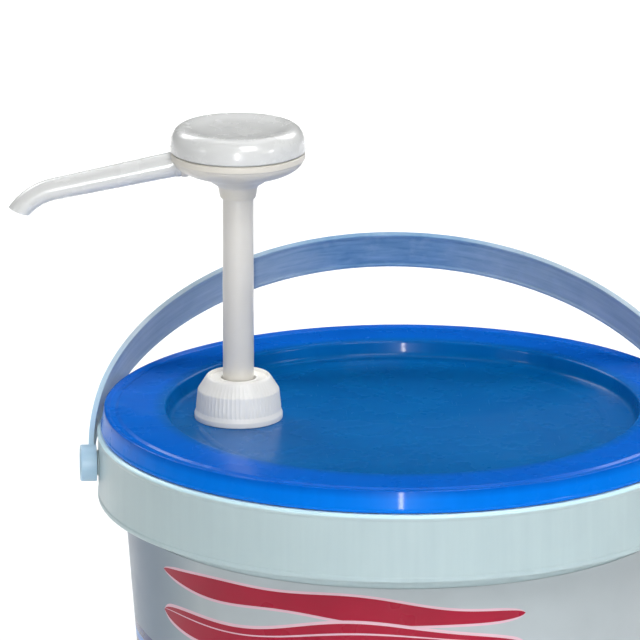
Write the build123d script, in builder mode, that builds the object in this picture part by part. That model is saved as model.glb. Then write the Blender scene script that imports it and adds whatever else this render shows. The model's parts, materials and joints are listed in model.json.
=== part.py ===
from build123d import *
from math import cos, radians, sin, tan
import os

# Condiment pump dispenser: a round plastic pail with a bail handle and a press-on lid, and a
# hand pump clamped through the lid. Units are millimetres, +Z is up, and the origin is the
# centre of the pail's foot on the table. The bail turns about the X axis, and the spout
# points along -X.

# ---------------------------------------------------------------- driving dimensions: pail
WALL = 1.9
FOOT_RADIUS = 118.7
WALL_TAPER = 0.0769  # growth of the wall's radius for each millimetre of height
FOOT_RISE = 3.5
FOOT_WIDTH = 6.0
FLOOR_THICKNESS = 2.2
COLLAR_BOTTOM = 206.0
COLLAR_TOP = 239.0
COLLAR_RADIUS = 147.7
COLLAR_THICKNESS = 1.8
GUSSET_COUNT = 28
GUSSET_THICKNESS = 1.6
GUSSET_HEIGHT = 21.0
RIM_TOP = 246.4
RIM_BEAD = 1.1
LABEL_BOTTOM = 26.0
LABEL_TOP = 199.0
LABEL_THICKNESS = 0.25
LABEL_GAP = 0.05
LABEL_TURN = 356.0

# ---------------------------------------------------------------- driving dimensions: bail
PIVOT_HEIGHT = 223.3
BAIL_ANGLE = 27.0  # how far the bail stands above level, leaning back
BAIL_INNER = 149.5
BAIL_WEB = 1.9
BAIL_WIDTH = 21.0
BAIL_BEAD = 1.5
BAIL_END_WIDTH = 14.5
BAIL_TAPER_LENGTH = 46.0
STUD_RADIUS = 4.5
STUD_HEAD_RADIUS = 5.3
STUD_NECK_END = 152.3
STUD_END = 153.9
HUB_RADIUS = 8.9
HUB_START = 148.2
HUB_END = 156.2
HUB_CLEARANCE = 0.1

# ---------------------------------------------------------------- driving dimensions: lid
LID_TOP = 250.0
LID_THICKNESS = 1.8
LID_RADIUS = 146.0
SKIRT_BOTTOM = 239.5
SHELF_INNER = 114.5
RECESS_DEPTH = 8.0
PANEL_TOP = LID_TOP - RECESS_DEPTH
PLUG_RADIUS = 134.9
PLUG_BOTTOM = 236.0
SNAP_INNER = 139.6
SNAP_BOTTOM = 241.5
SEAL_THICKNESS = 1.6

# ---------------------------------------------------------------- driving dimensions: pump
PUMP_X = -78.9
PUMP_Y = 11.0
STROKE = 80.0
BORE_RADIUS = 11.0
BARREL_WALL = 1.6
BARREL_BOTTOM = -126.0  # every pump height is measured from the top of the lid's panel
STEM_RADIUS = 7.5
STEM_BORE = 5.0
STEM_TIP_RADIUS = 6.2
STEM_SHOULDER = 5.0
STEM_TIP_END = -10.0
STEM_TOP = 122.8
RUNNING = 0.1
NECK_BORE = 15.2
NECK_RADIUS = 17.3
NECK_TOP = 13.5
THREAD_RADIUS = 18.5
THREAD_PITCH = 4.23
THREAD_TURNS = 2.0
FLANGE_RADIUS = 26.0
FLANGE_THICKNESS = 2.4
GASKET_THICKNESS = 1.5
WASHER_THICKNESS = 1.2
CYLINDER_FLANGE = 1.8
GUIDE_FLANGE = 1.5
NUT_BORE = 18.9
NUT_BASE_RADIUS = 21.4
NUT_BASE_HEIGHT = 5.0
NUT_SHOULDER = 15.0
NUT_HEIGHT = 21.5
NUT_RECESS = 1.5
NUT_RIB_COUNT = 60
DIP_TUBE_RADIUS = 5.0
DIP_TUBE_WALL = 1.0
DIP_TUBE_TIP = 12.0  # above the table

# ---------------------------------------------------------------- driving dimensions: head
SEAM = 133.8  # the head's widest plane, where its cap meets its body
HEAD_RADIUS = 32.8
SPOUT_AXIS_DROP = 6.6
SPOUT_DROOP = 11.3
SPOUT_START = 27.4
SPOUT_COLLAR = 2.6
SPOUT_STRAIGHT = 59.6
SPOUT_BEND_RADIUS = 28.0
SPOUT_BEND = 48.8  # degrees of arc before the tip is cut
SPOUT_CUT_AT = 0.86  # where the slanted tip crosses the arc, as a share of it
SPOUT_CUT_SKEW = 15.0
SPOUT_RADIUS_ROOT = 6.1
SPOUT_RADIUS_BEND = 5.3
SPOUT_RADIUS_TIP = 5.1
SPOUT_WALL = 1.5

os.makedirs("parts", exist_ok=True)

SECTION = Plane.XZ
PUMP_ORIGIN = Vector(PUMP_X, PUMP_Y, PANEL_TOP)
PUMP_PLANE = Plane(PUMP_ORIGIN)
PUMP_SECTION = Plane(PUMP_ORIGIN, x_dir=(1, 0, 0), z_dir=(0, -1, 0))
PUMP_AXIS = Axis(PUMP_ORIGIN, (0, 0, 1))
SEAM_ORIGIN = PUMP_ORIGIN + Vector(0, 0, SEAM)
SEAM_SECTION = Plane(SEAM_ORIGIN, x_dir=(1, 0, 0), z_dir=(0, -1, 0))


def wall_radius(height):
    """Outer radius of the pail's tapered wall at a height."""
    return FOOT_RADIUS + WALL_TAPER * height


def save(piece, label):
    """Names a finished piece and writes it as its own STEP file."""
    piece.part.label = label
    export_step(piece.part, f"parts/{label}.step")


# ================================================================ pail
with BuildPart() as pail:
    with BuildSketch(SECTION):
        with BuildLine():
            Polyline(
                (0, FOOT_RISE),
                (FOOT_RADIUS - FOOT_WIDTH, FOOT_RISE),
                (FOOT_RADIUS - FOOT_WIDTH + 1, 0),
                (wall_radius(0) - 1, 0),
                (wall_radius(1), 1),
                (wall_radius(COLLAR_TOP - WALL), COLLAR_TOP - WALL),
                (COLLAR_RADIUS - COLLAR_THICKNESS, COLLAR_TOP - WALL),
                (COLLAR_RADIUS - COLLAR_THICKNESS, COLLAR_BOTTOM),
                (COLLAR_RADIUS, COLLAR_BOTTOM),
                (COLLAR_RADIUS, COLLAR_TOP - 0.7),
                (COLLAR_RADIUS - 0.7, COLLAR_TOP),
                (wall_radius(COLLAR_TOP), COLLAR_TOP),
                (wall_radius(RIM_TOP - 3.4), RIM_TOP - 3.4),
                (wall_radius(RIM_TOP) + RIM_BEAD, RIM_TOP - 1.8),
                (wall_radius(RIM_TOP) + RIM_BEAD - 0.6, RIM_TOP),
                (wall_radius(RIM_TOP) - WALL + 0.4, RIM_TOP),
                (wall_radius(RIM_TOP - 1) - WALL, RIM_TOP - 1),
                (wall_radius(FOOT_RISE + FLOOR_THICKNESS + 5) - WALL, FOOT_RISE + FLOOR_THICKNESS + 5),
                (wall_radius(FOOT_RISE) - WALL - 5, FOOT_RISE + FLOOR_THICKNESS),
                (0, FOOT_RISE + FLOOR_THICKNESS),
                close=True,
            )
        make_face()
    revolve(axis=Axis.Z)

    # Radial gussets tie the reinforcing collar to the wall.
    gusset_bottom = COLLAR_TOP - WALL - GUSSET_HEIGHT
    gusset_start = wall_radius(gusset_bottom) - WALL / 2
    gusset_top_start = wall_radius(COLLAR_TOP - WALL / 2) - WALL / 2
    gusset_end = COLLAR_RADIUS - COLLAR_THICKNESS / 2
    with BuildSketch(SECTION):
        with BuildLine():
            Polyline(
                (gusset_top_start, COLLAR_TOP - WALL / 2),
                (gusset_start, gusset_bottom),
                (gusset_end, gusset_bottom + GUSSET_HEIGHT / 2),
                (gusset_end, COLLAR_TOP - WALL / 2),
                close=True,
            )
        make_face()
    gusset = extrude(amount=GUSSET_THICKNESS / 2, both=True, mode=Mode.PRIVATE)
    gusset_step = 360 / GUSSET_COUNT
    for index in range(GUSSET_COUNT):
        add(gusset.rotate(Axis.Z, gusset_step * (index + 0.5)))

    # Two pivot studs carry the bail, each with a head that the hub snaps over.
    for side in (1, -1):
        with BuildSketch(Plane.YZ.offset(side * (COLLAR_RADIUS - COLLAR_THICKNESS / 2))):
            with Locations((0, PIVOT_HEIGHT)):
                Circle(STUD_RADIUS)
        extrude(amount=side * (STUD_NECK_END - COLLAR_RADIUS + COLLAR_THICKNESS / 2))
        with BuildSketch(Plane.YZ.offset(side * STUD_NECK_END)):
            with Locations((0, PIVOT_HEIGHT)):
                Circle(STUD_HEAD_RADIUS)
        extrude(amount=side * (STUD_END - STUD_NECK_END))
save(pail, "pail")

# ================================================================ pail label
with BuildPart() as pail_label:
    label_inner = wall_radius(LABEL_BOTTOM) + LABEL_GAP
    label_upper = wall_radius(LABEL_TOP) + LABEL_GAP
    with BuildSketch(Plane.YZ):
        with BuildLine():
            Polyline(
                (label_inner, LABEL_BOTTOM),
                (label_inner + LABEL_THICKNESS, LABEL_BOTTOM),
                (label_upper + LABEL_THICKNESS, LABEL_TOP),
                (label_upper, LABEL_TOP),
                close=True,
            )
        make_face()
    revolve(axis=Axis.Z, revolution_arc=LABEL_TURN)
save(pail_label, "pail_label")

# ================================================================ bail handle
BAIL_Y = Vector(0, cos(radians(BAIL_ANGLE)), sin(radians(BAIL_ANGLE)))
BAIL_NORMAL = Vector(0, -sin(radians(BAIL_ANGLE)), cos(radians(BAIL_ANGLE)))
BAIL_CENTRE = Vector(0, 0, PIVOT_HEIGHT)
BAIL_OUTER = BAIL_INNER + BAIL_WEB + 2 * 0.35

with BuildPart() as bail_handle:
    # The strap is a half ring, a thin web with a thicker bead along both edges.
    with BuildSketch(Plane(BAIL_CENTRE, x_dir=(1, 0, 0), z_dir=-BAIL_Y)):
        with Locations(((BAIL_INNER + BAIL_OUTER) / 2, 0)):
            Rectangle(BAIL_WEB, BAIL_WIDTH - 1)
        with Locations(
            ((BAIL_INNER + BAIL_OUTER) / 2, (BAIL_WIDTH - BAIL_BEAD) / 2),
            ((BAIL_INNER + BAIL_OUTER) / 2, (BAIL_BEAD - BAIL_WIDTH) / 2),
        ):
            RectangleRounded(BAIL_OUTER - BAIL_INNER, BAIL_BEAD, BAIL_BEAD * 0.4)
    revolve(axis=Axis(BAIL_CENTRE, BAIL_NORMAL), revolution_arc=180)

    # Its ends narrow towards the hubs.
    with BuildSketch(Plane(BAIL_CENTRE, x_dir=BAIL_Y, z_dir=(1, 0, 0))):
        for side in (1, -1):
            with BuildLine():
                Polyline(
                    (-1, side * BAIL_END_WIDTH / 2),
                    (BAIL_TAPER_LENGTH, side * BAIL_WIDTH / 2),
                    (BAIL_TAPER_LENGTH, side * BAIL_WIDTH),
                    (-1, side * BAIL_WIDTH),
                    close=True,
                )
            make_face()
    extrude(amount=BAIL_OUTER + 1, both=True, mode=Mode.SUBTRACT)

    # A round hub at each end snaps over the pail's stud.
    for side in (1, -1):
        with BuildSketch(Plane.YZ.offset(side * HUB_START)):
            with Locations((0, PIVOT_HEIGHT)):
                Circle(HUB_RADIUS)
        extrude(amount=side * (HUB_END - HUB_START))
    hub_rims = edges().filter_by(GeomType.CIRCLE).group_by(Axis.X)
    fillet(hub_rims[0] + hub_rims[-1], 1.6)
    for side in (1, -1):
        with BuildSketch(Plane.YZ.offset(side * (HUB_START - 1))):
            with Locations((0, PIVOT_HEIGHT)):
                Circle(STUD_RADIUS + HUB_CLEARANCE)
        extrude(amount=side * (STUD_NECK_END - HUB_START + 0.8), mode=Mode.SUBTRACT)
        with BuildSketch(Plane.YZ.offset(side * (STUD_NECK_END - 0.2))):
            with Locations((0, PIVOT_HEIGHT)):
                Circle(STUD_HEAD_RADIUS + 2 * HUB_CLEARANCE)
        extrude(amount=side * (STUD_END - STUD_NECK_END + 0.6), mode=Mode.SUBTRACT)
save(bail_handle, "bail_handle")

# ================================================================ lid
with BuildPart() as lid:
    underside = LID_TOP - LID_THICKNESS
    panel_underside = PANEL_TOP - LID_THICKNESS
    with BuildSketch(SECTION) as lid_section:
        with BuildLine():
            Polyline(
                (0, PANEL_TOP),
                (SHELF_INNER - 1.2, PANEL_TOP),
                (SHELF_INNER, LID_TOP),
                (LID_RADIUS - 0.5, LID_TOP),
                (LID_RADIUS, SKIRT_BOTTOM),
                (LID_RADIUS - LID_THICKNESS, SKIRT_BOTTOM),
                (LID_RADIUS - LID_THICKNESS - 0.5, underside),
                (SNAP_INNER + 1.5, underside),
                (SNAP_INNER + 1.5, SNAP_BOTTOM),
                (SNAP_INNER, SNAP_BOTTOM),
                (SNAP_INNER, underside),
                (PLUG_RADIUS, underside),
                (PLUG_RADIUS - 0.6, PLUG_BOTTOM),
                (PLUG_RADIUS - LID_THICKNESS, PLUG_BOTTOM),
                (PLUG_RADIUS - LID_THICKNESS, underside),
                (SHELF_INNER + LID_THICKNESS, underside),
                (SHELF_INNER + LID_THICKNESS - 1.1, panel_underside),
                (0, panel_underside),
                close=True,
            )
        make_face()
        top_corners = lid_section.vertices().filter_by(lambda v: v.Y > PANEL_TOP - 0.1)
        top_corners = top_corners.filter_by(lambda v: v.X > 1)
        fillet(top_corners.filter_by(lambda v: v.Y > LID_TOP - 0.1), 1.6)
        panel_corner = lid_section.vertices().sort_by_distance((SHELF_INNER - 1.2, PANEL_TOP))[0]
        fillet(panel_corner, 3.5)
    revolve(axis=Axis.Z)
    with BuildSketch(PUMP_PLANE.offset(-2 * LID_THICKNESS)):
        Circle(NUT_BORE)
    extrude(amount=3 * LID_THICKNESS, mode=Mode.SUBTRACT)
    # The moulding gate leaves a low button at the panel's centre.
    with BuildSketch(Plane.XY.offset(PANEL_TOP)):
        Circle(6)
    extrude(amount=0.4, taper=20)
save(lid, "lid")

# ================================================================ lid seal
with BuildPart() as lid_seal:
    with BuildSketch(Plane.XY.offset(LID_TOP - LID_THICKNESS - SEAL_THICKNESS)):
        Circle(SNAP_INNER - 0.1)
        Circle(PLUG_RADIUS + 0.1, mode=Mode.SUBTRACT)
    extrude(amount=SEAL_THICKNESS)
save(lid_seal, "lid_seal")

# ================================================================ neck adapter, under the lid
ADAPTER_TOP = -LID_THICKNESS - GASKET_THICKNESS
with BuildPart() as neck_adapter:
    with BuildSketch(PUMP_SECTION):
        with BuildLine():
            Polyline(
                (NECK_BORE, ADAPTER_TOP - FLANGE_THICKNESS),
                (FLANGE_RADIUS - 0.6, ADAPTER_TOP - FLANGE_THICKNESS),
                (FLANGE_RADIUS, ADAPTER_TOP - FLANGE_THICKNESS + 0.6),
                (FLANGE_RADIUS, ADAPTER_TOP),
                (NECK_RADIUS, ADAPTER_TOP),
                (NECK_RADIUS, NECK_TOP - 0.5),
                (NECK_RADIUS - 0.5, NECK_TOP),
                (NECK_BORE, NECK_TOP),
                close=True,
            )
        make_face()
    revolve(axis=PUMP_AXIS)
    with BuildLine():
        thread = Helix(
            THREAD_PITCH,
            THREAD_PITCH * THREAD_TURNS,
            NECK_RADIUS,
            center=PUMP_ORIGIN + Vector(0, 0, 2.5),
        )
    with BuildSketch(Plane(thread @ 0, x_dir=(1, 0, 0), z_dir=thread % 0)):
        with BuildLine():
            Polyline(
                (-0.4, -1.05),
                (THREAD_RADIUS - NECK_RADIUS, -0.5),
                (THREAD_RADIUS - NECK_RADIUS, 0.5),
                (-0.4, 1.05),
                close=True,
            )
        make_face()
    sweep(path=thread, is_frenet=True)
save(neck_adapter, "neck_adapter")

with BuildPart() as adapter_gasket:
    with BuildSketch(PUMP_PLANE.offset(ADAPTER_TOP)):
        Circle(FLANGE_RADIUS - 0.5)
        Circle(THREAD_RADIUS + 0.5, mode=Mode.SUBTRACT)
    extrude(amount=GASKET_THICKNESS)
save(adapter_gasket, "adapter_gasket")

with BuildPart() as cylinder_washer:
    with BuildSketch(PUMP_PLANE.offset(NECK_TOP)):
        Circle(NECK_RADIUS - 0.3)
        Circle(BORE_RADIUS + BARREL_WALL + 0.3, mode=Mode.SUBTRACT)
    extrude(amount=WASHER_THICKNESS)
save(cylinder_washer, "cylinder_washer")

# ================================================================ pump cylinder
CYLINDER_SEAT = NECK_TOP + WASHER_THICKNESS
CYLINDER_TOP = CYLINDER_SEAT + CYLINDER_FLANGE
CHAMBER_RADIUS = 6.5
CHAMBER_BOTTOM = -136.0
PORT_RADIUS = 3.2
SOCKET_TOP = -143.0
SOCKET_BOTTOM = -158.0
with BuildPart() as pump_cylinder:
    barrel_radius = BORE_RADIUS + BARREL_WALL
    with BuildSketch(PUMP_SECTION) as cylinder_section:
        with BuildLine():
            Polyline(
                (BORE_RADIUS, CYLINDER_TOP),
                (NECK_RADIUS - 0.2, CYLINDER_TOP),
                (NECK_RADIUS - 0.2, CYLINDER_SEAT),
                (barrel_radius, CYLINDER_SEAT),
                (barrel_radius - 0.4, BARREL_BOTTOM - 1),
                (CHAMBER_RADIUS + BARREL_WALL, BARREL_BOTTOM - 5),
                (CHAMBER_RADIUS + BARREL_WALL - 0.3, SOCKET_BOTTOM),
                (DIP_TUBE_RADIUS + 0.5, SOCKET_BOTTOM),
                (DIP_TUBE_RADIUS, SOCKET_BOTTOM + 1),
                (DIP_TUBE_RADIUS, SOCKET_TOP),
                (PORT_RADIUS, SOCKET_TOP),
                (PORT_RADIUS, CHAMBER_BOTTOM - CHAMBER_RADIUS + PORT_RADIUS),
                (CHAMBER_RADIUS, CHAMBER_BOTTOM),
                (CHAMBER_RADIUS, BARREL_BOTTOM),
                (BORE_RADIUS, BARREL_BOTTOM),
                close=True,
            )
        make_face()
        foot_corner = cylinder_section.vertices().sort_by_distance(
            SEAM_ORIGIN + Vector(barrel_radius - 0.4, 0, BARREL_BOTTOM - 1 - SEAM)
        )[0]
        fillet(foot_corner, 2)
    revolve(axis=PUMP_AXIS)
save(pump_cylinder, "pump_cylinder")

# ================================================================ stem guide and its wiper
GUIDE_TOP = CYLINDER_TOP + GUIDE_FLANGE
GUIDE_BOTTOM = 6.0
WIPER_HEIGHT = 2.2
with BuildPart() as stem_guide:
    with BuildSketch(PUMP_SECTION):
        with BuildLine():
            Polyline(
                (STEM_RADIUS + RUNNING, GUIDE_TOP - 0.4),
                (STEM_RADIUS + RUNNING + 0.4, GUIDE_TOP),
                (NECK_RADIUS - 0.4, GUIDE_TOP),
                (NECK_RADIUS - 0.4, CYLINDER_TOP),
                (BORE_RADIUS - 0.05, CYLINDER_TOP),
                (BORE_RADIUS - 0.05, GUIDE_BOTTOM + 0.4),
                (BORE_RADIUS - 0.45, GUIDE_BOTTOM),
                (STEM_RADIUS + 2.3, GUIDE_BOTTOM),
                (STEM_RADIUS + 2.3, GUIDE_BOTTOM + WIPER_HEIGHT + 0.1),
                (STEM_RADIUS + RUNNING, GUIDE_BOTTOM + WIPER_HEIGHT + 0.1),
                close=True,
            )
        make_face()
    revolve(axis=PUMP_AXIS)
save(stem_guide, "stem_guide")

with BuildPart() as stem_wiper:
    with BuildSketch(PUMP_PLANE.offset(GUIDE_BOTTOM)):
        Circle(STEM_RADIUS + 2.2)
        Circle(STEM_RADIUS + RUNNING / 2, mode=Mode.SUBTRACT)
    extrude(amount=WIPER_HEIGHT)
    chamfer(edges().group_by(Axis.Z)[0].sort_by(SortBy.RADIUS)[0], 0.8)
save(stem_wiper, "stem_wiper")

# ================================================================ collar nut
with BuildPart() as collar_nut:
    with BuildSketch(PUMP_SECTION) as nut_section:
        with BuildLine():
            Polyline(
                (NUT_BORE + 0.4, 0),
                (NUT_BASE_RADIUS - 0.4, 0),
                (NUT_BASE_RADIUS, 0.4),
                (NUT_BASE_RADIUS, NUT_BASE_HEIGHT - 1.2),
                (NUT_BASE_RADIUS - 0.7, NUT_BASE_HEIGHT),
                (NUT_BASE_RADIUS - 1.6, NUT_SHOULDER),
                (NUT_BASE_RADIUS - 5.7, NUT_HEIGHT - 0.6),
                (NUT_BASE_RADIUS - 6.4, NUT_HEIGHT),
                (NUT_BASE_RADIUS - 7.0, NUT_HEIGHT),
                (NUT_BASE_RADIUS - 7.6, NUT_HEIGHT - NUT_RECESS),
                (STEM_RADIUS + 1.3, NUT_HEIGHT - NUT_RECESS),
                (STEM_RADIUS + 0.9, NUT_HEIGHT - NUT_RECESS - 0.4),
                (STEM_RADIUS + 0.9, GUIDE_TOP),
                (NECK_RADIUS - 0.1, GUIDE_TOP),
                (NUT_BORE - 0.9, NUT_SHOULDER),
                (NUT_BORE, NUT_SHOULDER - 1.2),
                (NUT_BORE, 0.4),
                close=True,
            )
        make_face()
    revolve(axis=PUMP_AXIS)
    # Fine grip ribs run from the base bead up to the shoulder.
    with BuildSketch(PUMP_PLANE.offset(NUT_BASE_HEIGHT - 1)):
        with PolarLocations(NUT_BASE_RADIUS - 1.3, NUT_RIB_COUNT):
            RectangleRounded(0.9, 1.1, 0.3)
    extrude(amount=NUT_SHOULDER - NUT_BASE_HEIGHT + 0.6)
    with BuildLine():
        nut_thread = Helix(
            THREAD_PITCH,
            THREAD_PITCH * THREAD_TURNS,
            NUT_BORE,
            center=PUMP_ORIGIN + Vector(0, 0, 2.5 + THREAD_PITCH / 2),
        )
    with BuildSketch(Plane(nut_thread @ 0, x_dir=(1, 0, 0), z_dir=nut_thread % 0)):
        with BuildLine():
            Polyline(
                (0.4, -0.95),
                (NECK_RADIUS + 0.2 - NUT_BORE, -0.45),
                (NECK_RADIUS + 0.2 - NUT_BORE, 0.45),
                (0.4, 0.95),
                close=True,
            )
        make_face()
    sweep(path=nut_thread, is_frenet=True)
save(collar_nut, "collar_nut")

# ================================================================ inlet valve and dip tube
CAGE_THICKNESS = 1.5
INLET_BALL_RADIUS = 4.75
with BuildPart() as inlet_cage:
    with BuildSketch(PUMP_PLANE.offset(BARREL_BOTTOM)):
        Circle(BORE_RADIUS - 0.3)
        Circle(CHAMBER_RADIUS - 0.5, mode=Mode.SUBTRACT)
        Circle(2.2)
        with PolarLocations(CHAMBER_RADIUS / 2, 3):
            Rectangle(CHAMBER_RADIUS, 1.8)
    extrude(amount=CAGE_THICKNESS)
save(inlet_cage, "inlet_cage")

seat_lift = 0.12
inlet_ball_height = CHAMBER_BOTTOM - CHAMBER_RADIUS + INLET_BALL_RADIUS * 2**0.5 + seat_lift
with BuildPart() as inlet_ball:
    with Locations(PUMP_ORIGIN + Vector(0, 0, inlet_ball_height)):
        Sphere(INLET_BALL_RADIUS)
save(inlet_ball, "inlet_ball")

with BuildPart() as dip_tube:
    tube_top = SOCKET_TOP - 0.3
    tube_length = PANEL_TOP + tube_top - DIP_TUBE_TIP
    with BuildSketch(PUMP_PLANE.offset(tube_top)):
        Circle(DIP_TUBE_RADIUS - 0.02)
        Circle(DIP_TUBE_RADIUS - DIP_TUBE_WALL, mode=Mode.SUBTRACT)
    extrude(amount=-tube_length)
    # The foot is cut on the slant, so that it can't seal against the pail's floor.
    slant = Plane(
        (PUMP_X, PUMP_Y, DIP_TUBE_TIP + DIP_TUBE_RADIUS),
        x_dir=(1, 0, 1),
        z_dir=(-1, 0, 1),
    )
    split(bisect_by=slant, keep=Keep.TOP)
save(dip_tube, "dip_tube")

# ================================================================ piston
PISTON_TOP = STEM_SHOULDER - 0.1
PISTON_BOTTOM = STEM_TIP_END + 0.2
SEAL_GROOVE_TOP = 2.2
SEAL_GROOVE_BOTTOM = -0.8
SPRING_TOP = -3.6
PISTON_RADIUS = BORE_RADIUS - 0.1
with BuildPart() as piston:
    with BuildSketch(PUMP_SECTION):
        with BuildLine():
            Polyline(
                (STEM_TIP_RADIUS + RUNNING, PISTON_TOP),
                (PISTON_RADIUS - 0.5, PISTON_TOP),
                (PISTON_RADIUS, PISTON_TOP - 0.5),
                (PISTON_RADIUS, SEAL_GROOVE_TOP),
                (PISTON_RADIUS - 2, SEAL_GROOVE_TOP),
                (PISTON_RADIUS - 2, SEAL_GROOVE_BOTTOM),
                (PISTON_RADIUS, SEAL_GROOVE_BOTTOM),
                (PISTON_RADIUS, -7.8),
                (PISTON_RADIUS - 0.9, -7.8),
                (PISTON_RADIUS - 0.9, SPRING_TOP),
                (STEM_TIP_RADIUS + 1.7, SPRING_TOP),
                (STEM_TIP_RADIUS + 1.7, PISTON_BOTTOM),
                (STEM_TIP_RADIUS + RUNNING, PISTON_BOTTOM),
                close=True,
            )
        make_face()
    revolve(axis=PUMP_AXIS)
save(piston, "piston")

with BuildPart() as piston_seal:
    with BuildSketch(PUMP_PLANE.offset(SEAL_GROOVE_BOTTOM + 0.1)):
        Circle(BORE_RADIUS - 0.05)
        Circle(PISTON_RADIUS - 1.9, mode=Mode.SUBTRACT)
    extrude(amount=SEAL_GROOVE_TOP - SEAL_GROOVE_BOTTOM - 0.2)
    seal_rims = edges().filter_by(GeomType.CIRCLE).group_by(SortBy.RADIUS)[-1]
    fillet(seal_rims, 1.0)
save(piston_seal, "piston_seal")

# ================================================================ return spring
SPRING_WIRE = 1.2
SPRING_MEAN = 8.95
SPRING_COILS = 20
SPRING_BOTTOM = BARREL_BOTTOM + CAGE_THICKNESS
with BuildPart() as return_spring:
    spring_rise = SPRING_TOP - SPRING_BOTTOM - SPRING_WIRE - 0.2
    with BuildLine():
        coil = Helix(
            spring_rise / SPRING_COILS,
            spring_rise,
            SPRING_MEAN,
            center=PUMP_ORIGIN + Vector(0, 0, SPRING_BOTTOM + SPRING_WIRE / 2 + 0.1),
        )
    with BuildSketch(Plane(coil @ 0, x_dir=(1, 0, 0), z_dir=coil % 0)):
        Circle(SPRING_WIRE / 2)
    sweep(path=coil, is_frenet=True)
save(return_spring, "return_spring")

# ================================================================ stem, outlet valve
OUTLET_BALL_RADIUS = 3.6
SEAT_TOP = -6.0
SEAT_PORT = 2.2
SEAT_RIM = 4.4
with BuildPart() as piston_stem:
    with BuildSketch(PUMP_SECTION):
        with BuildLine():
            Polyline(
                (STEM_BORE, STEM_TIP_END),
                (STEM_TIP_RADIUS, STEM_TIP_END),
                (STEM_TIP_RADIUS, STEM_SHOULDER),
                (STEM_RADIUS, STEM_SHOULDER + 0.3),
                (STEM_RADIUS, STEM_TOP - 0.6),
                (STEM_RADIUS - 0.6, STEM_TOP),
                (STEM_BORE, STEM_TOP),
                close=True,
            )
        make_face()
    revolve(axis=PUMP_AXIS)
    # A bar across the bore stops the outlet ball.
    with BuildSketch(PUMP_PLANE.offset(2.2)):
        Rectangle(2 * STEM_BORE + 0.6, 2)
    extrude(amount=2.5)
save(piston_stem, "piston_stem")

with BuildPart() as valve_seat:
    with BuildSketch(PUMP_SECTION):
        with BuildLine():
            Polyline(
                (SEAT_PORT, STEM_TIP_END - 2),
                (STEM_TIP_RADIUS + 1.2, STEM_TIP_END - 2),
                (STEM_TIP_RADIUS + 1.6, STEM_TIP_END - 1.4),
                (STEM_TIP_RADIUS + 1.6, STEM_TIP_END),
                (STEM_BORE - 0.05, STEM_TIP_END),
                (STEM_BORE - 0.05, SEAT_TOP),
                (SEAT_RIM, SEAT_TOP),
                (SEAT_PORT, SEAT_TOP - SEAT_RIM + SEAT_PORT),
                close=True,
            )
        make_face()
    revolve(axis=PUMP_AXIS)
save(valve_seat, "valve_seat")

outlet_ball_height = SEAT_TOP - SEAT_RIM + OUTLET_BALL_RADIUS * 2**0.5 + seat_lift
with BuildPart() as outlet_ball:
    with Locations(PUMP_ORIGIN + Vector(0, 0, outlet_ball_height)):
        Sphere(OUTLET_BALL_RADIUS)
save(outlet_ball, "outlet_ball")

# ================================================================ head body
BODY_RIM_RADIUS = HEAD_RADIUS - 0.3
BODY_RIM_TOP = -0.7
BODY_RIM_BOTTOM = -4.2
NECK_END = -23.5
SOCKET_RADIUS = 6.4
SPIGOT_RADIUS = 4.6
SPIGOT_LENGTH = 9.0
CHANNEL_RADIUS = 3.4
AXIS_HEIGHT = -SPOUT_AXIS_DROP
STEM_SOCKET_TOP = STEM_TOP - SEAM
SPOUT_ORIGIN = SEAM_ORIGIN + Vector(0, 0, AXIS_HEIGHT)
TOWARDS_TIP = Plane(SPOUT_ORIGIN, x_dir=(0, 1, 0), z_dir=(-1, 0, 0))

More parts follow.
